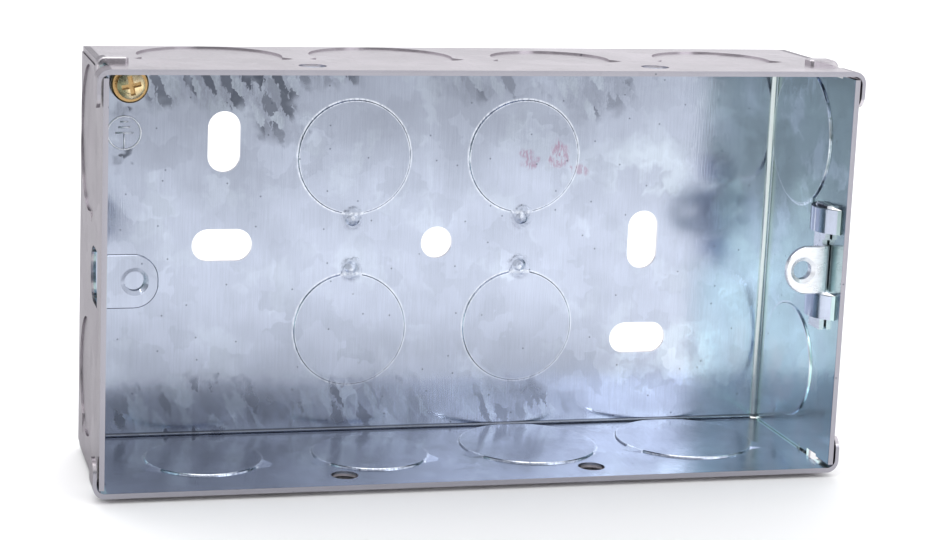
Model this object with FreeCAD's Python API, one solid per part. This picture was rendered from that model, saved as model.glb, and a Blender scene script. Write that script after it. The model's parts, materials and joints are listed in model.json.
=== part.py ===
"""Two-gang flush back box, 35 mm deep: folded galvanised sheet, one sliding lug, brass earth screw.

Axes: X along the width, Y from the open front (-Y) to the back, Z up. The origin is on the rear
face of the back plate, on the axis of the centre hole. All sizes are in millimetres.
"""
import FreeCAD, Part
import math
import os

V = FreeCAD.Vector

# Folded sheet
width = 133.0
height = 73.0
depth = 35.0
sheet = 0.9
long_wall_bend = 0.5
end_wall_bend = 1.0
seam_gap = 0.08
long_wall_inset = 0.2

# Fixing slots and centre hole in the back plate
centre_hole_radius = 3.0
slot_width = 6.0
slot_length = 11.2
slot_share = 0.609
slot_offset_z = 19.1

# Knockouts: discs sheared through and pressed inwards, held by small ties
knockout_step = 0.32
knockout_edge = 0.14
knockout_skin = 0.02
tie_width = 4.2
tie_tip_width = 1.8
tie_length = 2.1
tie_bead_radius = 1.4
tie_bead_rise = 0.45
tie_bead_reach = 0.9
small_knockout = 10.6
large_knockout = 12.7
fold_to_knockout = 0.5
back_knockout_offset = 16.2
row_margin = 5.5
row_count = 4
small_knockout_depth = 18.6
side_small_knockout_depth = 20.6
side_upper_share = 0.603
side_lower_share = 0.559
tie_lean = 25.0

# Small round fixing holes near the front rim
rim_hole_radius = 2.4
rim_hole_depth = 6.0
bottom_hole_share = 0.744

# Lugs for the accessory screws
lug_from_side = 6.2
lug_depth = 4.6
lug_hole_radius = 1.7
lug_rim_radius = 2.4
lug_rim_depth = 0.45
lug_collar_radius = 2.25
lug_collar_length = 0.9
lug_edge = 0.15
fixed_lug_height = 9.2
fixed_lug_nose = 4.0
fixed_lug_round = 4.2
fixed_lug_fold_radius = 0.6
fixed_lug_opening_margin = 0.25

# Sliding lug and the two loops that hold it
slide_travel = 2.5
slide_end_gap = 0.05
slide_side_gap = 0.13
tongue_height = 8.7
tongue_nose = 3.2
tongue_round = 4.1
tongue_bend_radius = 0.4
strip_width = 4.6
strip_above = 11.6
strip_below = 11.2
relief_notch = 1.0
loop_height = 4.35
loop_front = 2.0
loop_length = 10.2
loop_bulge = 3.0
loop_slit = 0.12

# Corner joints: a tab of each long wall goes round the corner, a tongue of each end wall folds over it
wrap_depth = 5.4
wrap_radius = 2.2
wrap_gap = 0.4
wrap_thickness = 0.65
wrap_length = 6.6
wrap_tip_round = 2.4
joint_slit = 0.4
tongue_fold_front = 9.4
tongue_fold_back = 12.6
tongue_fold_reach = 5.3
tongue_fold_bend = 1.3
tongue_fold_corner = 0.6
tongue_fold_edge = 0.2
corner_relief = 0.5
seam_opening = 0.45

# Earth terminal
earth_from_side = 8.5
earth_from_top = 6.7
earth_thread_radius = 1.65
earth_thread_gap = 0.05
earth_boss_radius = 2.5
earth_boss_length = 1.1
washer_radius = 3.4
washer_thickness = 0.9
washer_hole_gap = 0.15
washer_chamfer = 0.3
head_radius = 2.5
head_side_height = 1.5
head_dome_height = 0.9
cross_width = 0.85
cross_length = 3.5
cross_depth = 1.3
cross_angle = 12.0
screw_tip_gap = 0.2

# Worked out from the sizes above
half_width = width / 2
half_height = height / 2
overrun = 1.0
quarter_turn = 90.0
half_turn = 180.0
wall_inner_x = half_width - sheet
lug_hole_x = half_width - lug_from_side
slot_offset_x = slot_share * half_width
knockout_pitch = (width - 2 * row_margin) / row_count
bottom_hole_x = bottom_hole_share * knockout_pitch
side_upper_z = side_upper_share * half_height
side_lower_z = -side_lower_share * half_height


def box(x0, x1, y0, y1, z0, z1):
    """A box between two corners."""
    return Part.makeBox(x1 - x0, y1 - y0, z1 - z0, V(x0, y0, z0))


def arc(start, middle, end):
    return Part.Arc(start, middle, end).toShape()


def line(start, end):
    return Part.LineSegment(start, end).toShape()


def quarter_point(centre, radius, first, second):
    """The point half-way round a quarter circle between two unit directions."""
    return centre + (first + second) * (radius / math.sqrt(2))


# Each wall has a flat frame of its own: u along the wall, v back from the front rim or down the
# back plate, w outwards, with w = 0 on the outer face and the sheet below it.
WALLS = {
    "top": (V(0, -depth, half_height), V(1, 0, 0), V(0, 1, 0)),
    "bottom": (V(0, -depth, -half_height), V(-1, 0, 0), V(0, 1, 0)),
    "right": (V(half_width, -depth, 0), V(0, 0, -1), V(0, 1, 0)),
    "left": (V(-half_width, -depth, 0), V(0, 0, 1), V(0, 1, 0)),
    "back": (V(0, 0, 0), V(1, 0, 0), V(0, 0, -1)),
}


def on_wall(shape, wall):
    """Carry a shape from the flat frame to its wall."""
    origin, u, v = WALLS[wall]
    w = u.cross(v)
    placed = shape.copy()
    placed.Placement = FreeCAD.Placement(origin, FreeCAD.Rotation(u, v, w, "ZXY")).multiply(shape.Placement)
    return placed


def channel(along, across, half, length, inner_bend):
    """Two facing walls and the plate between them, folded from one strip.

    along is the direction the strip is wide in, across the direction from wall to wall, and half is
    the distance from the middle to a wall's outer face.
    """
    back = V(0, 1, 0)

    def outline(reach, rear, radius):
        left_centre = -across * (reach - radius) + back * (rear - radius)
        right_centre = across * (reach - radius) + back * (rear - radius)
        front = back * -depth
        rear_line = back * rear
        edges = [
            line(across * reach + front, across * reach + back * (rear - radius)),
            arc(across * reach + back * (rear - radius),
                quarter_point(right_centre, radius, across, back),
                across * (reach - radius) + rear_line),
            line(across * (reach - radius) + rear_line, -across * (reach - radius) + rear_line),
            arc(-across * (reach - radius) + rear_line,
                quarter_point(left_centre, radius, -across, back),
                -across * reach + back * (rear - radius)),
            line(-across * reach + back * (rear - radius), -across * reach + front),
            line(-across * reach + front, across * reach + front),
        ]
        return Part.Face(Part.Wire(edges))

    outer = outline(half, 0, inner_bend + sheet)
    inner = outline(half - sheet, -sheet, inner_bend)
    section = outer.cut(inner)
    section.translate(along * (-length / 2))
    return section.extrude(along * length)


def folded_shell():
    """Back plate and four walls; the long walls cover the end walls' edges, with a hairline seam."""
    long_walls = channel(V(1, 0, 0), V(0, 0, 1), half_height, width - 2 * long_wall_inset, long_wall_bend)
    end_walls = channel(V(0, 0, 1), V(1, 0, 0), half_width, height - 2 * (sheet + seam_gap), end_wall_bend)
    end_bend = end_wall_bend + sheet
    for x0, x1 in ((-half_width, end_bend - half_width), (half_width - end_bend, half_width)):
        long_walls = long_walls.cut(box(x0, x1, -end_bend, overrun, -half_height, half_height))
    return long_walls.fuse(end_walls)


def tie_prism(radius, angle, low, high, tip_low, tip_high):
    """A tapered tongue from the knockout's rim, falling from one level to another."""
    rim = math.sqrt(radius ** 2 - (tie_width / 2) ** 2)
    tip = radius + tie_length
    near = [V(rim, -tie_width / 2, low), V(rim, tie_width / 2, low),
            V(rim, tie_width / 2, high), V(rim, -tie_width / 2, high)]
    far = [V(tip, -tie_tip_width / 2, tip_low), V(tip, tie_tip_width / 2, tip_low),
           V(tip, tie_tip_width / 2, tip_high), V(tip, -tie_tip_width / 2, tip_high)]
    loft = Part.makeLoft([Part.makePolygon(near + near[:1]), Part.makePolygon(far + far[:1])], True, True)
    loft.rotate(V(0, 0, 0), V(0, 0, 1), angle)
    return loft


def tie_bead(radius, angle):
    """The rounded bead that pressing leaves on the inner face at a tie."""
    ball_radius = (tie_bead_radius ** 2 + tie_bead_rise ** 2) / (2 * tie_bead_rise)
    crown = -sheet - tie_bead_rise
    ball = Part.makeSphere(ball_radius, V(radius + tie_bead_reach, 0, crown + ball_radius))
    slab = Part.makeCylinder(ball_radius, tie_bead_rise + sheet / 2, V(radius + tie_bead_reach, 0, crown))
    bead = ball.common(slab)
    bead.rotate(V(0, 0, 0), V(0, 0, 1), angle)
    return bead


def knockout(body, wall, u, v, radius, tie_angles, beaded=False):
    """Press one disc inwards: a recess outside, the same step proud inside, ramps at the ties."""
    face = -sheet - knockout_step
    skin = knockout_skin
    recess = Part.makeCylinder(radius, knockout_step + overrun, V(0, 0, -knockout_step))
    proud = Part.makeCylinder(radius, knockout_step + skin - knockout_edge, V(0, 0, face + knockout_edge))
    proud = proud.fuse(Part.makeCone(radius - knockout_edge, radius, knockout_edge, V(0, 0, face)))
    for angle in tie_angles:
        recess = recess.fuse(tie_prism(radius, angle, -knockout_step, overrun, -skin, overrun))
        proud = proud.fuse(tie_prism(radius - knockout_edge, angle, face, -sheet + skin,
                                     -sheet - skin, -sheet + skin))
        if beaded:
            proud = proud.fuse(tie_bead(radius, angle))
    for shape in (recess, proud):
        shape.translate(V(u, v, 0))
    return body.cut(on_wall(recess, wall)).fuse(on_wall(proud, wall))


def all_knockouts(body):
    """Four in the back plate, four in each long wall and two in each end wall."""
    for side_x in (-1, 1):
        for side_v in (-1, 1):
            body = knockout(body, "back", side_x * back_knockout_offset, side_v * back_knockout_offset,
                            small_knockout, [-side_v * quarter_turn], True)
    large_v = depth - sheet - fold_to_knockout - large_knockout
    for wall in ("top", "bottom"):
        for place in range(row_count):
            is_large = place < row_count / 2
            radius = large_knockout if is_large else small_knockout
            u = (place - (row_count - 1) / 2) * knockout_pitch
            v = large_v if is_large else small_knockout_depth
            body = knockout(body, wall, u, v, radius, [-tie_lean, half_turn + tie_lean])
    for wall, up, outwards in (("right", -1, 0), ("left", 1, half_turn)):
        body = knockout(body, wall, up * side_upper_z, large_v, large_knockout, [outwards + up * tie_lean])
        body = knockout(body, wall, up * side_lower_z, side_small_knockout_depth, small_knockout,
                        [outwards - up * tie_lean])
    return body


def slot_cutter(along_u):
    """A through slot with round ends, centred, long along u or along v."""
    straight = slot_length - slot_width
    thick = sheet + 2 * overrun
    cutter = Part.makeBox(straight, slot_width, thick, V(-straight / 2, -slot_width / 2, 0))
    for end in (-1, 1):
        cutter = cutter.fuse(Part.makeCylinder(slot_width / 2, thick, V(end * straight / 2, 0, 0)))
    cutter.translate(V(0, 0, -sheet - overrun))
    if not along_u:
        cutter.rotate(V(0, 0, 0), V(0, 0, 1), quarter_turn)
    return cutter


def back_plate_holes(body):
    """Centre hole and the four slots: one upright and one level slot on each side."""
    cutters = [Part.makeCylinder(centre_hole_radius, sheet + 2 * overrun, V(0, 0, -sheet - overrun))]
    for u, v, along_u in ((-slot_offset_x, -slot_offset_z, False), (-slot_offset_x, 0, True),
                          (slot_offset_x, 0, False), (slot_offset_x, slot_offset_z, True)):
        cutter = slot_cutter(along_u)
        cutter.translate(V(u, v, 0))
        cutters.append(cutter)
    for cutter in cutters:
        body = body.cut(on_wall(cutter, "back"))
    return body


def rim_holes(body):
    """Two small round holes near the front rim of each long wall."""
    for wall, offset in (("top", knockout_pitch), ("bottom", bottom_hole_x)):
        for side in (-1, 1):
            hole = Part.makeCylinder(rim_hole_radius, sheet + 2 * overrun,
                                     V(side * offset, rim_hole_depth, -sheet - overrun))
            body = body.cut(on_wall(hole, wall))
    return body


def d_face(root, tip, half, round_radius, front):
    """The face of a flat tongue in the XZ plane, with a straight root and two large rounded corners."""
    way = 1 if tip > root else -1
    bend = tip - way * round_radius
    flat = half - round_radius
    up = V(0, 0, 1)
    out = V(way, 0, 0)
    upper = V(bend, front, flat)
    lower = V(bend, front, -flat)
    edges = [
        line(V(root, front, -half), V(bend, front, -half)),
        arc(V(bend, front, -half), quarter_point(lower, round_radius, out, -up), V(tip, front, -flat)),
        line(V(tip, front, -flat), V(tip, front, flat)),
        arc(V(tip, front, flat), quarter_point(upper, round_radius, out, up), V(bend, front, half)),
        line(V(bend, front, half), V(root, front, half)),
        line(V(root, front, half), V(root, front, -half)),
    ]
    return Part.Face(Part.Wire(edges))


def d_plate(root, tip, half, round_radius, front):
    """A D-shaped tongue of sheet whose front edge is eased all round, apart from its root."""
    way = 1 if tip > root else -1
    layers = [(front, lug_edge), (front + lug_edge, 0)]
    wires = [d_face(root, tip - way * inset, half - inset, round_radius - inset, y).OuterWire for y, inset in layers]
    eased = Part.makeLoft(wires, True, True)
    flat = d_face(root, tip, half, round_radius, front + lug_edge).extrude(V(0, sheet - lug_edge, 0))
    return eased.fuse(flat)


def drawn_thread(plate, hole_x, front):
    """Draw a collar out of the back of a lug and leave a dished rim on its front."""
    back = V(0, 1, 0)
    collar = Part.makeCylinder(lug_collar_radius, sheet + lug_collar_length, V(hole_x, front, 0), back)
    bore = Part.makeCylinder(lug_hole_radius, sheet + lug_collar_length + 2 * overrun,
                             V(hole_x, front - overrun, 0), back)
    dish = Part.makeCone(lug_rim_radius, lug_hole_radius, lug_rim_depth, V(hole_x, front, 0), back)
    return plate.fuse(collar).cut(bore).cut(dish)


def fixed_lug(body):
    """Shear a D-shaped flap out of the left wall and fold it inwards about its front edge."""
    front = lug_depth - depth
    half = fixed_lug_height / 2
    tip = -lug_hole_x + fixed_lug_nose
    root = -half_width
    flap_length = tip - root - sheet
    opening = d_face(0, flap_length + fixed_lug_opening_margin, half + fixed_lug_opening_margin,
                     fixed_lug_round, 0).extrude(V(0, sheet + 2 * overrun, 0))
    opening.rotate(V(0, 0, 0), V(0, 0, 1), quarter_turn)
    opening.translate(V(root + sheet + overrun, front + sheet + fixed_lug_fold_radius, 0))
    body = body.cut(opening)

    plate = d_plate(root + sheet / 2, tip, half, fixed_lug_round, front)
    corner = box(root, root + sheet + fixed_lug_fold_radius, front - fixed_lug_fold_radius,
                 front + sheet + fixed_lug_fold_radius, -half, half)
    hollow = Part.makeCylinder(fixed_lug_fold_radius, fixed_lug_height,
                               V(root + sheet + fixed_lug_fold_radius, front - fixed_lug_fold_radius, -half))
    corner = corner.cut(hollow)
    outside = box(root - overrun, root + sheet + fixed_lug_fold_radius, front + sheet,
                  front + sheet + 2 * overrun, -half - overrun, half + overrun)
    flap = drawn_thread(plate.fuse(corner.cut(outside)), -lug_hole_x, front)
    return body.fuse(flap)


def loop_section():
    """The bowed strip of one loop, seen from above: the wall's two faces carried along one arc."""
    start = loop_front - depth
    middle = start + loop_length / 2
    end = start + loop_length
    inner = wall_inner_x
    outer = half_width
    edges = [
        arc(V(inner, start, 0), V(inner - loop_bulge, middle, 0), V(inner, end, 0)),
        line(V(inner, end, 0), V(outer, end, 0)),
        arc(V(outer, end, 0), V(outer - loop_bulge, middle, 0), V(outer, start, 0)),
        line(V(outer, start, 0), V(inner, start, 0)),
    ]
    return Part.Face(Part.Wire(edges))


def loop_levels():
    """Lowest point of each loop: the tongue rests on the lower one and stops under the upper one."""
    lower_top = -tongue_height / 2 - slide_end_gap
    upper_bottom = tongue_height / 2 + slide_travel + slide_end_gap
    return [lower_top - loop_height, upper_bottom]


def slide_loops(body):
    """Lance two loops inwards out of the right wall."""
    start = loop_front - depth
    for low in loop_levels():
        window = box(wall_inner_x - overrun, half_width + overrun, start, start + loop_length,
                     low - loop_slit, low + loop_height + loop_slit)
        band = loop_section().extrude(V(0, 0, loop_height))
        band.translate(V(0, 0, low))
        body = body.cut(window).fuse(band)
    return body


def loop_inner_reach(offset):
    """How far inside the wall's inner face the loop's hidden face is, off the loop's middle."""
    half_chord = loop_length / 2
    radius = (half_chord ** 2 + loop_bulge ** 2) / (2 * loop_bulge)
    return loop_bulge - sheet - (radius - math.sqrt(radius ** 2 - offset ** 2))


def sliding_lug():
    """An angle piece: a drilled tongue facing the front and a strip that runs behind both loops."""
    front = lug_depth - depth
    strip_front = front + sheet
    strip_back = strip_front + strip_width
    loop_middle = loop_front - depth + loop_length / 2
    worst = max(abs(strip_front - loop_middle), abs(strip_back - loop_middle))
    strip_in = wall_inner_x - loop_inner_reach(worst) + slide_side_gap
    strip_out = strip_in + sheet
    strip = box(strip_in, strip_out, strip_front, strip_back, -strip_below, strip_above)
    for side in (-1, 1):
        level = side * (tongue_height / 2 + relief_notch / 2)
        strip = strip.cut(box(strip_in - overrun, strip_out + overrun, strip_front - overrun,
                              strip_front + relief_notch, level - relief_notch / 2, level + relief_notch / 2))

    tip = lug_hole_x - tongue_nose
    half = tongue_height / 2
    bend_outer = tongue_bend_radius + sheet
    bend_x = strip_out - bend_outer
    plate = d_plate(bend_x, tip, half, tongue_round, front)
    bend = box(bend_x, strip_out, front, front + bend_outer, -half, half)
    corner_axis = V(bend_x, front + bend_outer, -half)
    rounded = Part.makeCylinder(bend_outer, tongue_height, corner_axis)
    inside = Part.makeCylinder(tongue_bend_radius, tongue_height, corner_axis)
    bend = bend.common(rounded.cut(inside))
    leg = box(strip_in, strip_out, front + bend_outer, strip_back, -half, half)
    plate = drawn_thread(plate, lug_hole_x, front)
    return strip.fuse(leg).fuse(bend).fuse(plate)


def wrap_tab():
    """The front strip of a long wall, carried round the right-hand upper corner, with a rounded tip."""
    inner_x = half_width + wrap_gap
    outer_x = inner_x + wrap_thickness
    top = half_height
    tip = top - wrap_length
    y = -depth
    centre = V(outer_x - wrap_radius, y, top - wrap_radius)
    root = half_width - sheet - seam_gap - overrun
    inner_radius = wrap_radius - (sheet + wrap_thickness) / 2
    right = V(1, 0, 0)
    up = V(0, 0, 1)
    edges = [
        line(V(root, y, top), centre + up * wrap_radius),
        arc(centre + up * wrap_radius, quarter_point(centre, wrap_radius, right, up), centre + right * wrap_radius),
        line(centre + right * wrap_radius, V(outer_x, y, tip)),
        line(V(outer_x, y, tip), V(inner_x, y, tip)),
        line(V(inner_x, y, tip), V(inner_x, y, centre.z)),
        arc(V(inner_x, y, centre.z), quarter_point(centre, inner_radius, right, up), V(centre.x, y, top - sheet)),
        line(V(centre.x, y, top - sheet), V(root, y, top - sheet)),
        line(V(root, y, top - sheet), V(root, y, top)),
    ]
    strip = Part.Face(Part.Wire(edges)).extrude(V(0, wrap_depth, 0))
    for corner_y, inwards in ((y, 1), (y + wrap_depth, -1)):
        outside_y = corner_y - inwards * overrun
        middle_y = corner_y + inwards * wrap_tip_round
        square = box(half_width, outer_x + overrun, min(outside_y, middle_y), max(outside_y, middle_y),
                     tip - overrun, tip + wrap_tip_round)
        disc = Part.makeCylinder(wrap_tip_round, wrap_gap + wrap_thickness + overrun,
                                 V(half_width, middle_y, tip + wrap_tip_round), right)
        strip = strip.cut(square.cut(disc))
    return strip


def folded_tongue():
    """The end wall's tongue behind the strip, bent flat over the long wall at the same corner."""
    front = tongue_fold_front - depth
    back = tongue_fold_back - depth
    top = half_height + sheet
    right = half_width
    end = right - tongue_fold_reach
    centre = V(right - tongue_fold_bend, front, top - tongue_fold_bend)
    wall_top = half_height - sheet - seam_gap - overrun
    inner_radius = tongue_fold_bend - sheet
    x = V(1, 0, 0)
    z = V(0, 0, 1)
    edges = [
        line(V(end, front, top), centre + z * tongue_fold_bend),
        arc(centre + z * tongue_fold_bend, quarter_point(centre, tongue_fold_bend, x, z),
            centre + x * tongue_fold_bend),
        line(centre + x * tongue_fold_bend, V(right, front, wall_top)),
        line(V(right, front, wall_top), V(right - sheet, front, wall_top)),
        line(V(right - sheet, front, wall_top), centre + x * inner_radius),
        arc(centre + x * inner_radius, quarter_point(centre, inner_radius, x, z), centre + z * inner_radius),
        line(centre + z * inner_radius, V(end, front, top - sheet)),
        line(V(end, front, top - sheet), V(end, front, top)),
    ]
    tongue = Part.Face(Part.Wire(edges)).extrude(V(0, back - front, 0))
    for y, side in ((front, 1), (back, -1)):
        square = box(end - overrun, end + tongue_fold_corner, min(y, y + side * tongue_fold_corner),
                     max(y, y + side * tongue_fold_corner), half_height - overrun, top + overrun)
        round_end = Part.makeCylinder(tongue_fold_corner, sheet + 2 * overrun,
                                      V(end + tongue_fold_corner, y + side * tongue_fold_corner,
                                        half_height - overrun))
        tongue = tongue.cut(square.cut(round_end))
    crown = [edge for edge in tongue.Edges if edge.BoundBox.ZMin > half_height + sheet / 2]
    return tongue.makeChamfer(tongue_fold_edge, crown)


def corner_reliefs():
    """What is cut away at the right-hand upper corner before the joint is made."""
    wall_end = half_height - sheet - seam_gap
    beside_tab = box(wall_inner_x - overrun, half_width + overrun, -depth - overrun,
                     wrap_depth + joint_slit - depth, wall_end - corner_relief, half_height + overrun)
    seam = box(wall_inner_x - seam_gap - seam_opening, half_width + overrun, wrap_depth - depth,
               tongue_fold_back + joint_slit - depth, half_height - sheet - overrun, half_height + overrun)
    return [beside_tab, seam]


def at_corner(shape, side_x, side_z):
    """Copy a feature of the right-hand upper corner to any of the four corners."""
    placed = shape.copy()
    if side_x < 0:
        placed = placed.mirror(V(0, 0, 0), V(1, 0, 0))
    if side_z < 0:
        placed = placed.mirror(V(0, 0, 0), V(0, 0, 1))
    return placed


def corner_joints(body):
    """Wrap tab and folded tongue at each of the four front corners."""
    corners = [(side_x, side_z) for side_x in (-1, 1) for side_z in (-1, 1)]
    for side_x, side_z in corners:
        for cutter in corner_reliefs():
            body = body.cut(at_corner(cutter, side_x, side_z))
        body = body.fuse(at_corner(wrap_tab(), side_x, side_z))
        body = body.fuse(at_corner(folded_tongue(), side_x, side_z))
    return body


def earth_place():
    """Axis of the earth screw, in the back plate near the left upper corner."""
    return -half_width + earth_from_side, half_height - earth_from_top


def earth_boss(body):
    """A short collar drawn inwards out of the back plate, tapped for the earth screw."""
    x, z = earth_place()
    length = earth_boss_length + sheet
    collar = Part.makeCylinder(earth_boss_radius, length, V(x, -length, z), V(0, 1, 0))
    bore = Part.makeCylinder(earth_thread_radius + earth_thread_gap, length + 2 * overrun,
                             V(x, -length - overrun, z), V(0, 1, 0))
    return body.fuse(collar).cut(bore)


def earth_washer():
    """A plain brass washer with a bevelled front edge, flat on the collar."""
    x, z = earth_place()
    seat = -sheet - earth_boss_length
    front = seat - washer_thickness
    ring = Part.makeCylinder(washer_radius, washer_thickness - washer_chamfer,
                             V(x, front + washer_chamfer, z), V(0, 1, 0))
    bevel = Part.makeCone(washer_radius - washer_chamfer, washer_radius, washer_chamfer,
                          V(x, front, z), V(0, 1, 0))
    hole = Part.makeCylinder(earth_thread_radius + washer_hole_gap, washer_thickness + 2 * overrun,
                             V(x, front - overrun, z), V(0, 1, 0))
    return ring.fuse(bevel).cut(hole)


def earth_screw():
    """A domed screw with a cross recess, its shank in the drawn collar."""
    x, z = earth_place()
    seat = -sheet - earth_boss_length - washer_thickness
    crown = seat - head_side_height - head_dome_height
    rim = V(head_radius, 0, head_side_height)
    top = V(0, 0, head_side_height + head_dome_height)
    dome_radius = (head_radius ** 2 + head_dome_height ** 2) / (2 * head_dome_height)
    lean = math.asin(head_radius / dome_radius) / 2
    middle = V(dome_radius * math.sin(lean), 0, top.z - dome_radius * (1 - math.cos(lean)))
    tip = V(0, 0, seat + screw_tip_gap)
    edges = [
        line(top, tip),
        line(tip, V(earth_thread_radius, 0, tip.z)),
        line(V(earth_thread_radius, 0, tip.z), V(earth_thread_radius, 0, 0)),
        line(V(earth_thread_radius, 0, 0), V(head_radius, 0, 0)),
        line(V(head_radius, 0, 0), rim),
        arc(rim, middle, top),
    ]
    screw = Part.Face(Part.Wire(edges)).revolve(V(0, 0, 0), V(0, 0, 1), 360)
    for turn in (cross_angle, cross_angle + quarter_turn):
        blade = box(-cross_length / 2, cross_length / 2, -cross_width / 2, cross_width / 2,
                    top.z - cross_depth, top.z + overrun)
        blade.rotate(V(0, 0, 0), V(0, 0, 1), turn)
        screw = screw.cut(blade)
    screw.rotate(V(0, 0, 0), V(1, 0, 0), quarter_turn)
    screw.translate(V(x, seat, z))
    return screw


def box_body():
    """The folded box with everything that is sheared, drawn or bent out of the same sheet."""
    body = folded_shell()
    body = all_knockouts(body)
    body = back_plate_holes(body)
    body = rim_holes(body)
    body = fixed_lug(body)
    body = slide_loops(body)
    body = corner_joints(body)
    return earth_boss(body)


def save(name, shape):
    """Write one piece as a single solid."""
    clean = shape.removeSplitter()
    print(name, "solids", len(clean.Solids), "valid", clean.isValid(), "volume", round(clean.Volume, 1))
    clean.Solids[0].exportStep("parts/" + name + ".step")


os.makedirs("parts", exist_ok=True)
save("box_body", box_body())
save("adjustable_lug", sliding_lug())
save("earth_washer", earth_washer())
save("earth_screw", earth_screw())
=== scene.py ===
"""Looks of the flush back box: finishes, the earth sign, floor, light and camera.

Metres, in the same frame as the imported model: X along the width, Y from the open front to the back
plate, Z up, origin on the rear face of the back plate. Materials work in millimetres.
"""

import json
import math

import bmesh
import bpy
from mathutils import Matrix, Vector


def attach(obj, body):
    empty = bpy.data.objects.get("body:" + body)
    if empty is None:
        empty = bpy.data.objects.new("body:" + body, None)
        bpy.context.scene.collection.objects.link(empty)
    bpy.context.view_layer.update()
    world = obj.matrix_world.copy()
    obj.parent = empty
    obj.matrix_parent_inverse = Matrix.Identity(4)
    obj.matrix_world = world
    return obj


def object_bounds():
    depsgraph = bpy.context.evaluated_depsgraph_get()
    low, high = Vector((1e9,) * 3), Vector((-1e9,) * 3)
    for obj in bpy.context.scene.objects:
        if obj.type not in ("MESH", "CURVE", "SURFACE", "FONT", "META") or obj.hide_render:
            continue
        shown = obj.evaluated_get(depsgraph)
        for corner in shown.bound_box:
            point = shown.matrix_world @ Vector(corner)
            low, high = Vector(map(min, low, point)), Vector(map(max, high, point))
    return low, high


MM = 0.001

# The folded sheet, in millimetres, as are all places up to the studio's
HALF_WIDTH = 66.5
HALF_HEIGHT = 36.5
SHEET = 0.9
PLATE_FACE = -SHEET
FRONT_RIM = -35.0
END_BEND = 1.0
LONG_BEND = 0.5

# Knockouts: radii, places on the plate, on the long walls and on the end walls
SMALL_KNOCKOUT = 10.6
LARGE_KNOCKOUT = 12.7
BACK_KNOCKOUT = 16.2
ROW_PITCH = 30.5
LARGE_KNOCKOUT_Y = -14.1
LONG_SMALL_Y = -16.4
END_UPPER_Z = 22.0
END_LOWER_Z = -20.4
TIE_PLACE = (16.2, 4.7)

EARTH_SCREW = (-58.0, 29.8)
HEAD_CROWN = -5.3
HEAD_DOME_RADIUS = 3.92
EARTH_CENTRE = (-58.7, 20.8)
EARTH_RING_RADIUS = 3.0
EARTH_LINE_RADIUS = 0.17
EARTH_BARS = ((0.0, 1.6), (1.0, 1.05), (2.0, 0.7))
RING_STEPS = 64
LINE_SIDES = 8

SHEET_INSIDE = (0.48, 0.525, 0.635)
# The end walls' inner faces: teal as a painted reflection of the surroundings
END_WALL_PAINTED_TEAL = (0.52, 0.67, 0.68)
SHEET_OUTSIDE = (0.56, 0.53, 0.56)
SHEET_DARK = (0.075, 0.085, 0.11)
SHEET_FROST = (0.66, 0.74, 0.84)
STAIN_RED = (0.31, 0.15, 0.22)
# The front edge painted darker: painted shade on the sheet's rounded cut edge
FRONT_EDGE_PAINTED_SHADE = (0.37, 0.36, 0.40)
# Painted highlight along the end walls' folds
PAINTED_FOLD_HIGHLIGHT = (0.60, 0.66, 0.65)
# Painted highlight along the knockouts' rims
PAINTED_RIM_HIGHLIGHT = (0.84, 0.88, 0.95)
TINT_INSIDE = (1.0, 1.0, 1.0)
# Edge tints of the reflections: painted shade on the outer faces, darker still on the end walls' outer
# faces
OUTSIDE_PAINTED_SHADE_TINT = (0.80, 0.78, 0.80)
END_OUTSIDE_PAINTED_SHADE_TINT = (0.39, 0.38, 0.40)
LUG_COLOUR = (0.84, 0.86, 0.90)
# The earth sign's zinc, painted lighter as a painted highlight
SIGN_PAINTED_HIGHLIGHT = (0.93, 0.95, 1.0)
BRASS_COLOUR = (0.88, 0.70, 0.40)
BRASS_SHADE = (0.34, 0.18, 0.05)
FLOOR_COLOUR = (0.96, 0.96, 0.96)

# Where the sheet's masks start and where they are full; for patches, in shares of their half size
END_WALL = (HALF_WIDTH - 1.6, HALF_WIDTH - 1.3)
LONG_WALL = (HALF_HEIGHT - 1.6, HALF_HEIGHT - 1.3)
PLATE = (-2.0, -1.25)
OUTER_SKIN = (0.35, 0.55)
RIM_EDGE = (0.42, 0.16)
FRONT_EDGE = (FRONT_RIM + 0.25, FRONT_RIM + 0.05)
PATCH_EDGE = (1.25, 0.55)
NEAR_TIE = (2.6, 1.3)
FOLD_SKIN = (-0.3, -0.5)
# Fold lines: painted highlight along the end walls' folds, painted shade along the long walls' folds
END_FOLD, END_FOLD_Y, END_FOLD_STRENGTH = (64.3, 64.6), (-2.2, -2.0), 0.8
LONG_FOLD, LONG_FOLD_Y, LONG_FOLD_STRENGTH = (34.85, 35.05), (-1.7, -1.5), 0.7

# Painted shade and light, as slow changes of tone over the sheet: from and to a place, and the levels
# there if not 0 and 1
PAINTED_TOP_SHADE = (-4.0, 30.0)
PAINTED_TOP_SHADE_DEPTH = (34.0, 52.0, 0.36, 0.26)
PAINTED_LEFT_SHADE = (-75.0, 35.0, 0.90, 1.05)
FAR_RIGHT = (50.0, 58.0)
FAR_RIGHT_LIGHT = 1.14
# The end walls' inner faces painted lighter low down and darker high up
END_WALL_PAINTED_LIGHT = (-26.0, 18.0, 1.45, 0.52)

# Noise and cells of the sheet: how many to a millimetre, and how they are stretched
GRAIN_STRETCH = (5.0, 0.12, 1.0)
STREAK_STRETCH = (3.2, 0.4, 1.0)
CLOUDS = 0.06
CRYSTALS = 0.2
FROST = 0.09
SPECKS = 0.16
CRUMPLE = 0.9
SHARDS = 0.55
SHARD_LEAN = 0.4
SHARD_STRETCH = 0.4
RAGGED, RAGGED_REACH = 0.4, 4.0
FRAYED, FRAYED_REACH = 1.5, 0.8

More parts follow.
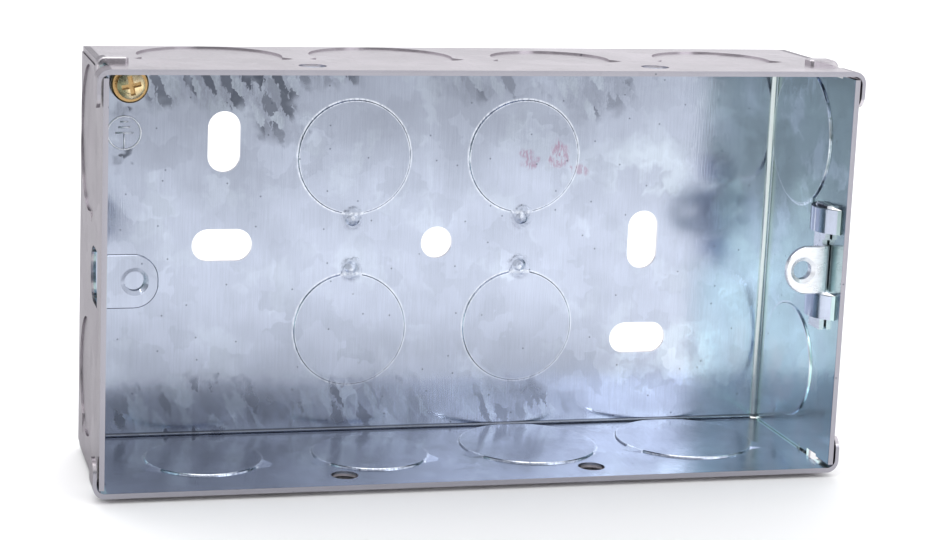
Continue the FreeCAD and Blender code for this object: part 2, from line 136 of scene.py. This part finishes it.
# Limits of the noise, the streaks and the cells' random numbers, and the levels they give
NOISE_MIDDLE = (0.3, 0.7)
GRAIN_LIGHT = (0.96, 1.04)
CRYSTAL_LIGHT = (0.95, 1.05)
CLOUD_LIGHT = (0.93, 1.06)
SHARD_EDGE = (1.42, 1.28)
SHARD_STREAKS = 1.1
SHARD_TONES = (0.3, 1.0)
DARK_PICK, DARK_STRENGTH = (0.46, 0.48), 0.95
BRIGHT_PICK, BRIGHT_STRENGTH = (0.32, 0.30), 0.65
HAZE = (0.36, 0.16)
THIN_FROST = (0.52, 0.68, 0.0, 0.25)
THICK_FROST = (0.38, 0.60)
STAIN_STREAKS = (0.40, 0.56)
SPECK_EDGE = (0.035, 0.015)
SPECK_PICK, SPECK_STRENGTH = (0.45, 0.5), 0.7
RIM_STREAKS = (0.35, 0.6, 0.15, 0.7)

# Roughness, and the relief's heights, depth in millimetres and strength
SHEET_ROUGH = (0.14, 0.20)
OUTSIDE_ROUGH = 0.06
DARK_ROUGH = 0.2
GRAIN_HEIGHT = 0.35
CLOUD_HEIGHT = 0.8
CRUMPLE_HEIGHT = 12.0
RELIEF_DEPTH = 0.03
RELIEF_STRENGTH = 0.6

# Soft-edged patches on the back plate: x, z, half width, half height, strength
DARK_PATCHES = (
    (-51.0, 30.0, 5.0, 5.0, 0.8),
    (-41.0, 29.5, 7.5, 5.5, 0.95),
    (-31.5, 27.5, 4.6, 8.5, 1.0),
    (-23.0, 32.0, 10.0, 3.0, 0.8),
    (-28.0, 20.5, 3.2, 3.2, 0.7),
    (9.0, 31.0, 10.5, 5.0, 0.55),
    (29.0, 29.0, 8.0, 6.0, 0.75),
    (-59.3, 24.6, 2.0, 1.4, 0.9),
    (-59.0, 16.4, 1.9, 1.1, 1.0),
    (-46.0, -31.0, 20.0, 6.0, 0.85),
    (-13.0, -31.0, 16.0, 6.0, 0.75),
    (15.0, -31.5, 12.0, 5.0, 0.60),
)
FROST_PATCHES = (
    (41.0, 13.0, 9.0, 7.0, 0.8),
    (46.0, -23.0, 13.0, 8.0, 0.8),
    (56.5, 9.0, 3.5, 7.0, 0.9),
)
RED_PATCHES = (
    (17.3, 15.6, 1.8, 2.1, 0.55),
    (23.0, 16.4, 1.9, 2.4, 0.60),
    (27.0, 13.4, 1.8, 1.2, 0.45),
)

# The studio, in metres: the surroundings brighten towards the right, the rear and the top
WORLD_COLOUR = (0.97, 0.98, 1.0)
WORLD_DIM = 0.51
WORLD_BRIGHT = 1.07
WORLD_RAMPS = ((0.3, 0.9), (-0.2, 0.5), (0.15, 0.7))
FLOOR_RADIUS = 7.0
FLOOR_SIDES = 96
# Lights: name, place, aim, width and height, watts, colour
SOFTBOXES = (
    ("top_light", (0.0, -0.1, 1.2), (0.0, 0.0, 0.0), (0.8, 0.7), 2.4, (1.0, 0.97, 0.96)),
    ("back_light", (0.0, 1.5, 1.5), (0.0, 1.3, 0.0), (2.5, 1.2), 22.0, (1.0, 1.0, 1.0)),
    ("sparkle_light", (-0.55, -0.6, 0.75), (0.0, 0.0, 0.0), (0.15, 0.15), 1.0, (1.0, 0.99, 0.97)),
    ("front_right_light", (0.62, -1.05, 0.36), (0.0, 0.0, 0.0), (0.6, 0.6), 1.5, (0.96, 0.98, 1.0)),
)

CAMERA_PLACE = (-109.71 * MM, -402.06 * MM, 82.61 * MM)
CAMERA_AZIMUTH = math.radians(-12.53)
CAMERA_ELEVATION = math.radians(10.6)
CAMERA_ROLL = math.radians(1.74)
CAMERA_LENS = 86.87
CAMERA_SENSOR = 36.0
CAMERA_SHIFT = (0.15, -0.06)
CAMERA_REACH = (0.01, 30.0)

# The colour sockets of a mix node
MIX_FIRST, MIX_SECOND, MIX_RESULT = 6, 7, 2


class Nodes:
    """Short names for building the nodes of a tree."""

    def __init__(self, tree, dimensions="3D"):
        self.tree = tree
        self.dimensions = dimensions

    def feed(self, socket, value):
        if isinstance(value, bpy.types.NodeSocket):
            self.tree.links.new(value, socket)
        elif isinstance(value, tuple) and len(value) == 3 and socket.type == "RGBA":
            socket.default_value = (*value, 1.0)
        else:
            socket.default_value = value

    def vector(self, operation, first, second=None, scale=None):
        made = self.tree.nodes.new("ShaderNodeVectorMath")
        made.operation = operation
        self.feed(made.inputs[0], first)
        if second is not None:
            self.feed(made.inputs[1], second)
        if scale is not None:
            self.feed(made.inputs["Scale"], scale)
        return made.outputs["Value"] if operation == "LENGTH" else made.outputs["Vector"]

    def math(self, operation, first, second=0.0):
        made = self.tree.nodes.new("ShaderNodeMath")
        made.operation = operation
        self.feed(made.inputs[0], first)
        self.feed(made.inputs[1], second)
        return made.outputs["Value"]

    def plus(self, first, *others):
        for other in others:
            first = self.math("ADD", first, other)
        return first

    def minus(self, first, second):
        return self.math("SUBTRACT", first, second)

    def times(self, first, *others):
        for other in others:
            first = self.math("MULTIPLY", first, other)
        return first

    def larger(self, first, second):
        return self.math("MAXIMUM", first, second)

    def absolute(self, value):
        return self.math("ABSOLUTE", value)

    def without(self, mask):
        return self.minus(1.0, mask)

    def steps(self, value, low, high, to_low=0.0, to_high=1.0):
        """A smooth change from to_low at low to to_high at high."""
        made = self.tree.nodes.new("ShaderNodeMapRange")
        made.interpolation_type = "SMOOTHSTEP"
        for socket, number in zip(made.inputs, (value, low, high, to_low, to_high)):
            self.feed(socket, number)
        return made.outputs["Result"]

    def levels(self, noise, low, high):
        """The middle of a noise's range, spread from low to high."""
        return self.steps(noise, *NOISE_MIDDLE, low, high)

    def between(self, number, low, high):
        """A number from 0 to 1, spread from low to high."""
        return self.steps(number, 0.0, 1.0, low, high)

    def noise(self, place, scale, detail, rough, output="Fac"):
        made = self.tree.nodes.new("ShaderNodeTexNoise")
        made.noise_dimensions = self.dimensions
        self.feed(made.inputs["Vector"], place)
        self.feed(made.inputs["Scale"], scale)
        self.feed(made.inputs["Detail"], detail)
        self.feed(made.inputs["Roughness"], rough)
        return made.outputs[output]

    def cells(self, place, scale, distance="EUCLIDEAN"):
        """The distance to the nearest cell's centre, and the cell's random colour."""
        made = self.tree.nodes.new("ShaderNodeTexVoronoi")
        made.voronoi_dimensions = self.dimensions
        made.distance = distance
        self.feed(made.inputs["Vector"], place)
        self.feed(made.inputs["Scale"], scale)
        return made.outputs["Distance"], made.outputs["Color"]

    def join(self, x, y):
        made = self.tree.nodes.new("ShaderNodeCombineXYZ")
        self.feed(made.inputs["X"], x)
        self.feed(made.inputs["Y"], y)
        return made.outputs["Vector"]

    def split(self, vector):
        made = self.tree.nodes.new("ShaderNodeSeparateXYZ")
        self.feed(made.inputs[0], vector)
        return tuple(made.outputs)

    def mix(self, factor, first, second):
        made = self.tree.nodes.new("ShaderNodeMix")
        made.data_type = "RGBA"
        self.feed(made.inputs["Factor"], factor)
        self.feed(made.inputs[MIX_FIRST], first)
        self.feed(made.inputs[MIX_SECOND], second)
        return made.outputs[MIX_RESULT]

    def brighten(self, colour, factor):
        """Multiply a colour by a number."""
        return self.vector("SCALE", colour, scale=factor)


class Finish(Nodes):
    """A material's nodes, with the object's place in millimetres."""

    def __init__(self, name, dimensions="3D"):
        self.material = bpy.data.materials.new(name)
        self.material.use_nodes = True
        super().__init__(self.material.node_tree, dimensions)
        self.tree.nodes.clear()
        output = self.tree.nodes.new("ShaderNodeOutputMaterial")
        self.shader = self.tree.nodes.new("ShaderNodeBsdfPrincipled")
        self.tree.links.new(self.shader.outputs["BSDF"], output.inputs["Surface"])
        coordinates = self.tree.nodes.new("ShaderNodeTexCoord")
        self.place = self.vector("SCALE", coordinates.outputs["Object"], scale=1 / MM)

    def surface(self, colour, rough, metallic=1.0):
        self.feed(self.shader.inputs["Base Color"], colour)
        self.feed(self.shader.inputs["Metallic"], metallic)
        self.feed(self.shader.inputs["Roughness"], rough)

    def relief(self, height, depth, strength):
        """Small unevenness, whose depth is in millimetres."""
        made = self.tree.nodes.new("ShaderNodeBump")
        self.feed(made.inputs["Height"], height)
        self.feed(made.inputs["Distance"], depth * MM)
        self.feed(made.inputs["Strength"], strength)
        self.feed(self.shader.inputs["Normal"], made.outputs["Normal"])


class Sheet(Finish):
    """The zinc sheet's nodes: masks for its faces, all walls laid flat, and the layers of its look."""

    def __init__(self):
        super().__init__("galvanised_sheet", "2D")
        self.x, self.y, self.z = self.split(self.place)
        self.from_side = self.absolute(self.x)
        self.from_middle = self.absolute(self.z)
        self.on_end_wall = self.steps(self.from_side, *END_WALL)
        on_long_wall = self.steps(self.from_middle, *LONG_WALL)
        self.outside = self.larger(self.outer_face(self.from_side, HALF_WIDTH, END_BEND),
                                   self.outer_face(self.from_middle, HALF_HEIGHT, LONG_BEND))
        self.inside = self.without(self.outside)
        self.on_plate = self.times(self.steps(self.y, *PLATE), self.inside)
        self.flat = self.join(self.plus(self.x, self.times(self.y, self.on_end_wall)),
                              self.plus(self.z, self.times(self.y, on_long_wall)))
        self.ragged = self.shifted(RAGGED, RAGGED_REACH)
        self.frayed = self.shifted(FRAYED, FRAYED_REACH)
        stretched = self.vector("MULTIPLY", self.frayed, STREAK_STRETCH)
        self.streak = self.noise(stretched, scale=1.0, detail=2.0, rough=0.6)

    def outer_face(self, off_middle, half, bend):
        """1 on the outer face of two facing walls, their bends and the plate between, 0 on the inner."""
        sideways = self.larger(self.minus(off_middle, half - SHEET - bend), 0.0)
        backwards = self.larger(self.minus(self.y, PLATE_FACE - bend), 0.0)
        reach = self.vector("LENGTH", self.join(sideways, backwards))
        return self.steps(reach, bend + OUTER_SKIN[0], bend + OUTER_SKIN[1])

    def shifted(self, scale, reach):
        """The flat place moved about by noise, so that edges laid on it run ragged."""
        shift = self.noise(self.flat, scale, detail=1.0, rough=0.6, output="Color")
        shift = self.vector("SUBTRACT", shift, (0.5, 0.5, 0.5))
        return self.vector("ADD", self.flat, self.vector("SCALE", shift, scale=reach))

    def patches(self, spots):
        """How far each place lies inside one of some soft-edged patches of the back plate."""
        covered = 0.0
        for centre_x, centre_z, half_x, half_z, strength in spots:
            off = self.vector("SUBTRACT", self.ragged, (centre_x, centre_z, 0.0))
            off = self.vector("MULTIPLY", off, (1 / half_x, 1 / half_z, 0.0))
            covering = self.steps(self.vector("LENGTH", off), *PATCH_EDGE, 0.0, strength)
            covered = self.larger(covered, covering)
        return self.times(covered, self.on_plate)

    def painted_rim_highlights(self):
        """Painted highlights along the sheared rims of the pressed discs in the plate, the long walls
        and the end walls.

        The large discs are in the upper half of the end walls, and on the long walls where x and z
        have opposite signs.
        """
        off_plate = self.without(self.on_plate)
        on_end = self.times(self.on_end_wall, off_plate)
        on_long = self.times(self.without(self.on_end_wall), off_plate)
        is_large = self.plus(
            self.times(on_long, self.math("LESS_THAN", self.times(self.x, self.z), 0.0)),
            self.times(on_end, self.math("GREATER_THAN", self.z, 0.0)))
        radius = self.either(is_large, SMALL_KNOCKOUT, LARGE_KNOCKOUT)

        plate_off = self.join(self.minus(self.from_side, BACK_KNOCKOUT),
                              self.minus(self.from_middle, BACK_KNOCKOUT))
        from_pair = self.absolute(self.minus(self.from_side, ROW_PITCH))
        row_y = self.either(is_large, LONG_SMALL_Y, LARGE_KNOCKOUT_Y)
        long_off = self.join(self.minus(from_pair, ROW_PITCH / 2), self.minus(self.y, row_y))
        end_z = self.either(is_large, END_LOWER_Z, END_UPPER_Z)
        end_off = self.join(self.minus(self.z, end_z), self.minus(self.y, LARGE_KNOCKOUT_Y))
        off = self.vector("SCALE", plate_off, scale=self.on_plate)
        off = self.vector("ADD", off, self.vector("SCALE", long_off, scale=on_long))
        off = self.vector("ADD", off, self.vector("SCALE", end_off, scale=on_end))
        from_rim = self.absolute(self.minus(self.vector("LENGTH", off), radius))
        broken = self.steps(self.streak, *RIM_STREAKS)
        return self.times(self.steps(from_rim, *RIM_EDGE), self.inside, broken)

    def either(self, is_large, small, large):
        """The small number where is_large is 0, the large one where it is 1."""
        return self.plus(self.times(is_large, large - small), small)

    def painted_fold_line(self, off_middle, off_range, y_range, strength):
        """The line along which a wall meets the plate: a mask for painted light along the fold, a
        highlight on the end walls and shade on the long walls.
        """
        along = self.times(self.steps(off_middle, *off_range), self.steps(self.y, *y_range))
        return self.times(along, self.steps(self.y, *FOLD_SKIN), self.inside, strength)

    def shards(self):
        """Dark crystals over a haze, and bright ones among them: tall, leaning to the left."""
        region = self.patches(DARK_PATCHES)
        across, upright = self.split(self.frayed)[:2]
        leaning = self.join(self.plus(across, self.times(upright, SHARD_LEAN)),
                            self.times(upright, SHARD_STRETCH))
        distance, colour = self.cells(leaning, SHARDS, "MANHATTAN")
        pick, tone = self.split(colour)[:2]
        edge = self.plus(distance, self.times(self.streak, SHARD_STREAKS))
        facet = self.times(self.steps(edge, *SHARD_EDGE), region)
        dark = self.times(facet, self.steps(pick, *DARK_PICK), self.between(tone, *SHARD_TONES),
                          DARK_STRENGTH)
        haze = self.times(region, self.levels(self.streak, *HAZE))
        bright = self.times(facet, self.steps(pick, *BRIGHT_PICK), BRIGHT_STRENGTH)
        return self.larger(dark, haze), bright

    def frost(self, bright_shards):
        noise = self.noise(self.ragged, FROST, detail=3.0, rough=0.65)
        frosted = self.times(self.patches(FROST_PATCHES), self.steps(noise, *THICK_FROST))
        frost = self.larger(self.steps(noise, *THIN_FROST), frosted)
        return self.larger(frost, bright_shards)

    def stains(self):
        return self.times(self.patches(RED_PATCHES), self.steps(self.streak, *STAIN_STREAKS))

    def specks(self):
        distance, colour = self.cells(self.flat, SPECKS)
        pick = self.split(colour)[0]
        return self.times(self.steps(distance, *SPECK_EDGE), self.steps(pick, *SPECK_PICK),
                          SPECK_STRENGTH)

    def painted_shade_and_light(self):
        """Painted shade and light: the plate painted darker towards the top, all sheet painted darker to
        the left, and the plate's far right painted lighter.
        """
        across, upright = self.split(self.ragged)[:2]
        painted_top_band = self.times(self.steps(upright, *PAINTED_TOP_SHADE), self.steps(across, *PAINTED_TOP_SHADE_DEPTH),
                              self.on_plate)
        painted_far_right_light = self.times(self.steps(self.x, *FAR_RIGHT), self.on_plate)
        return self.times(self.without(painted_top_band), self.steps(self.x, *PAINTED_LEFT_SHADE),
                          self.between(painted_far_right_light, 1.0, FAR_RIGHT_LIGHT))

    def near_ties(self):
        off = self.join(self.minus(self.from_side, TIE_PLACE[0]),
                        self.minus(self.from_middle, TIE_PLACE[1]))
        return self.times(self.steps(self.vector("LENGTH", off), *NEAR_TIE), self.on_plate)


def galvanised_sheet():
    """Hot-dip zinc on folded sheet: soft spangle, fine grain, dark crystals, specks and stains, with
    painted shade and painted highlights.
    """
    sheet = Sheet()
    stretched = sheet.vector("MULTIPLY", sheet.flat, GRAIN_STRETCH)
    grain = sheet.noise(stretched, scale=1.0, detail=2.0, rough=0.7)
    clouds = sheet.noise(sheet.flat, CLOUDS, detail=2.0, rough=0.6)
    crumple = sheet.noise(sheet.flat, CRUMPLE, detail=1.0, rough=0.6)
    crystals = sheet.cells(sheet.ragged, CRYSTALS)[1]
    crystal_tone, crystal_pick = sheet.split(crystals)[:2]
    dark_shards, bright_shards = sheet.shards()
    near_ties = sheet.near_ties()

    # Painted reflection and painted light on the end walls' inner faces: teal, lighter low down, darker
    # high up
    painted_end_wall = sheet.brighten(END_WALL_PAINTED_TEAL, sheet.steps(sheet.z, *END_WALL_PAINTED_LIGHT))
    colour = sheet.mix(sheet.on_end_wall, SHEET_INSIDE, painted_end_wall)
    colour = sheet.mix(sheet.frost(bright_shards), colour, SHEET_FROST)
    colour = sheet.mix(sheet.outside, colour, SHEET_OUTSIDE)
    # Random tone of the grain, crystals and clouds, times the painted shade and light
    light = sheet.times(sheet.levels(grain, *GRAIN_LIGHT), sheet.between(crystal_tone, *CRYSTAL_LIGHT),
                        sheet.levels(clouds, *CLOUD_LIGHT), sheet.painted_shade_and_light())
    colour = sheet.brighten(colour, light)
    for mask, over in (
        # painted highlight along the end walls' folds
        (sheet.painted_fold_line(sheet.from_side, END_FOLD, END_FOLD_Y, END_FOLD_STRENGTH), PAINTED_FOLD_HIGHLIGHT),
        # painted shade along the long walls' folds
        (sheet.painted_fold_line(sheet.from_middle, LONG_FOLD, LONG_FOLD_Y, LONG_FOLD_STRENGTH), SHEET_DARK),
        # painted highlight along the knockouts' rims
        (sheet.painted_rim_highlights(), PAINTED_RIM_HIGHLIGHT),
        # painted shade on the front edge
        (sheet.steps(sheet.y, *FRONT_EDGE), FRONT_EDGE_PAINTED_SHADE),
        (dark_shards, SHEET_DARK),
        (sheet.stains(), STAIN_RED),
        (sheet.specks(), SHEET_DARK),
    ):
        colour = sheet.mix(mask, colour, over)

    rough = sheet.plus(sheet.between(crystal_pick, *SHEET_ROUGH),
                       sheet.times(sheet.outside, OUTSIDE_ROUGH),
                       sheet.times(sheet.larger(dark_shards, near_ties), DARK_ROUGH))
    sheet.surface(colour, rough)
    # Painted shade: the outer faces' reflections dimmed, the end walls' most
    painted_shade_tint = sheet.mix(sheet.outside, TINT_INSIDE, OUTSIDE_PAINTED_SHADE_TINT)
    painted_shade_tint = sheet.mix(sheet.times(sheet.outside, sheet.on_end_wall), painted_shade_tint, END_OUTSIDE_PAINTED_SHADE_TINT)
    sheet.feed(sheet.shader.inputs["Specular Tint"], painted_shade_tint)
    height = sheet.plus(sheet.times(grain, GRAIN_HEIGHT), sheet.times(clouds, CLOUD_HEIGHT),
                        sheet.times(crumple, near_ties, CRUMPLE_HEIGHT))
    sheet.relief(height, RELIEF_DEPTH, RELIEF_STRENGTH)
    return sheet.material


def plated_lug():
    """Brighter zinc plate with faint grain."""
    lug = Finish("plated_lug")
    stretched = lug.vector("MULTIPLY", lug.place, (1.0, 1.0, 6.0))
    grain = lug.noise(stretched, scale=0.8, detail=3.0, rough=0.6)
    clouds = lug.noise(lug.place, scale=0.5, detail=3.0, rough=0.6)
    light = lug.times(lug.levels(grain, 0.94, 1.05), lug.levels(clouds, 0.9, 1.08))
    lug.surface(lug.brighten(LUG_COLOUR, light), lug.levels(clouds, 0.26, 0.36))
    lug.relief(grain, depth=0.03, strength=0.5)
    return lug.material


def brass():
    """Bright brass with brown shading in the hollows of the screw's head."""
    finish = Finish("brass")
    clouds = finish.noise(finish.place, scale=0.9, detail=4.0, rough=0.65)
    grain = finish.noise(finish.place, scale=6.0, detail=3.0, rough=0.6)
    x, y, z = finish.split(finish.place)
    off_x = finish.minus(x, EARTH_SCREW[0])
    off_z = finish.minus(z, EARTH_SCREW[1])
    off_axis = finish.plus(finish.times(off_x, off_x), finish.times(off_z, off_z))
    dome = finish.plus(finish.times(off_axis, 0.5 / HEAD_DOME_RADIUS), HEAD_CROWN)
    hollow = finish.steps(finish.minus(y, dome), 0.1, 0.5, 0.0, 0.75)
    colour = finish.mix(finish.steps(clouds, 0.5, 0.75, 0.0, 0.3), BRASS_COLOUR, BRASS_SHADE)
    colour = finish.mix(hollow, colour, BRASS_SHADE)
    finish.surface(finish.brighten(colour, finish.levels(grain, 0.93, 1.06)),
                   finish.levels(clouds, 0.16, 0.3))
    finish.relief(grain, depth=0.02, strength=0.4)
    return finish.material


def sign_painted_highlight():
    """The raised earth sign's zinc, painted lighter than the sheet round it as a painted highlight."""
    sign = Finish("sign_painted_highlight")
    clouds = sign.noise(sign.place, scale=1.5, detail=3.0, rough=0.6)
    sign.surface(sign.brighten(SIGN_PAINTED_HIGHLIGHT, sign.levels(clouds, 0.9, 1.0)), rough=0.45)
    return sign.material


def pale_floor():
    paint = Finish("pale_floor")
    clouds = paint.noise(paint.place, scale=0.004, detail=2.0, rough=0.5)
    paint.surface(paint.brighten(FLOOR_COLOUR, paint.levels(clouds, 0.98, 1.0)), rough=0.7, metallic=0.0)
    paint.feed(paint.shader.inputs["Specular IOR Level"], 0.2)
    return paint.material


def new_object(name, data):
    made = bpy.data.objects.new(name, data)
    bpy.context.scene.collection.objects.link(made)
    return made


def mesh_object(name, shape, material):
    mesh = bpy.data.meshes.new(name)
    shape.to_mesh(mesh)
    shape.free()
    mesh.materials.append(material)
    return new_object(name, mesh)


def tube(shape, points, closed=False):
    """Sweep a small round section along points in the XZ plane."""
    rings = []
    count = len(points)
    for number, point in enumerate(points):
        before = points[number - 1] if closed or number else point
        after = points[(number + 1) % count] if closed or number < count - 1 else point
        along = (after - before).normalized()
        across = along.cross(Vector((0, 1, 0)))
        ring = []
        for side in range(LINE_SIDES):
            angle = 2 * math.pi * side / LINE_SIDES
            offset = across * math.cos(angle) + Vector((0, 1, 0)) * math.sin(angle)
            ring.append(shape.verts.new((point + offset * EARTH_LINE_RADIUS) * MM))
        rings.append(ring)
    for number in range(count if closed else count - 1):
        first, second = rings[number], rings[(number + 1) % count]
        for side in range(LINE_SIDES):
            other = (side + 1) % LINE_SIDES
            shape.faces.new((first[side], first[other], second[other], second[side]))
    if not closed:
        shape.faces.new(rings[0])
        shape.faces.new(rings[-1][::-1])


def sign_point(right, up):
    """A point of the plate's face, off the earth sign's centre."""
    return Vector((EARTH_CENTRE[0] + right, PLATE_FACE, EARTH_CENTRE[1] + up))


def earth_sign(material):
    """The raised ring, stem and three bars beside the earth screw."""
    shape = bmesh.new()
    ring = []
    for step in range(RING_STEPS):
        angle = 2 * math.pi * step / RING_STEPS
        ring.append(sign_point(EARTH_RING_RADIUS * math.cos(angle), EARTH_RING_RADIUS * math.sin(angle)))
    tube(shape, ring, closed=True)
    tube(shape, [sign_point(0.0, 0.0), sign_point(0.0, -EARTH_RING_RADIUS)])
    for rise, half in EARTH_BARS:
        tube(shape, [sign_point(-half, rise), sign_point(half, rise)])
    bmesh.ops.recalc_face_normals(shape, faces=shape.faces)
    made = mesh_object("earth_sign", shape, material)
    for face in made.data.polygons:
        face.use_smooth = True
    return made


def floor(level, material):
    shape = bmesh.new()
    bmesh.ops.create_circle(shape, cap_ends=True, segments=FLOOR_SIDES, radius=FLOOR_RADIUS)
    made = mesh_object("floor", shape, material)
    made.location = (0, 0, level)
    return made


def softbox(name, place, aim, size, watts, colour):
    lamp = bpy.data.lights.new(name, "AREA")
    lamp.shape = "RECTANGLE"
    lamp.size, lamp.size_y = size
    lamp.energy = watts
    lamp.color = colour
    made = new_object(name, lamp)
    made.location = place
    made.rotation_euler = (Vector(aim) - Vector(place)).to_track_quat("-Z", "Y").to_euler()


def studio():
    """Even pale surroundings with soft lights above, behind and in front."""
    world = bpy.data.worlds.new("studio")
    world.use_nodes = True
    nodes = Nodes(world.node_tree)
    direction = nodes.tree.nodes.new("ShaderNodeTexCoord").outputs["Generated"]
    light = 0.0
    for component, (low, high) in zip(nodes.split(direction), WORLD_RAMPS):
        light = nodes.larger(light, nodes.steps(component, low, high, WORLD_DIM, WORLD_BRIGHT))
    background = nodes.tree.nodes["Background"]
    nodes.feed(background.inputs["Color"], WORLD_COLOUR)
    nodes.feed(background.inputs["Strength"], light)
    bpy.context.scene.world = world
    for lamp in SOFTBOXES:
        softbox(*lamp)


def camera():
    """Where the photograph was taken from, as near as square pixels allow."""
    back = Vector((math.sin(CAMERA_AZIMUTH) * math.cos(CAMERA_ELEVATION),
                   -math.cos(CAMERA_AZIMUTH) * math.cos(CAMERA_ELEVATION),
                   math.sin(CAMERA_ELEVATION)))
    level = Vector((math.cos(CAMERA_AZIMUTH), math.sin(CAMERA_AZIMUTH), 0))
    upright = back.cross(level)
    right = level * math.cos(CAMERA_ROLL) + upright * math.sin(CAMERA_ROLL)
    up = upright * math.cos(CAMERA_ROLL) - level * math.sin(CAMERA_ROLL)
    data = bpy.data.cameras.new("camera")
    data.sensor_width = CAMERA_SENSOR
    data.lens = CAMERA_LENS
    data.shift_x, data.shift_y = CAMERA_SHIFT
    data.clip_start, data.clip_end = CAMERA_REACH
    made = new_object("camera", data)
    turn = Matrix((right, up, back)).transposed().to_4x4()
    made.matrix_world = Matrix.Translation(CAMERA_PLACE) @ turn
    bpy.context.scene.camera = made


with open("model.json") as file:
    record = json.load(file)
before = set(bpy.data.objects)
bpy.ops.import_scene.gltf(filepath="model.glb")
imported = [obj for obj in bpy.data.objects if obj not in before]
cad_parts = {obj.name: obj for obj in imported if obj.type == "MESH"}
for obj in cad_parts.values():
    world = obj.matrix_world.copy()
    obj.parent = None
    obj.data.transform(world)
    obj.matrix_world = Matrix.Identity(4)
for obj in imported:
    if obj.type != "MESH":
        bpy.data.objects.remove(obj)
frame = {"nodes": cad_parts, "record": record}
cad_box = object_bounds()

finishes = {
    "galvanised_sheet": galvanised_sheet(),
    "plated_lug": plated_lug(),
    "brass": brass(),
}
for part in frame["record"]["subparts"]:
    node = frame["nodes"][part["node"]]
    node.data.materials.clear()
    node.data.materials.append(finishes[part["material_slot"]])

sign = earth_sign(sign_painted_highlight())
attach(sign, "box")

floor(cad_box[0].z, pale_floor())
studio()
camera()
bpy.context.scene.view_settings.view_transform = "Standard"
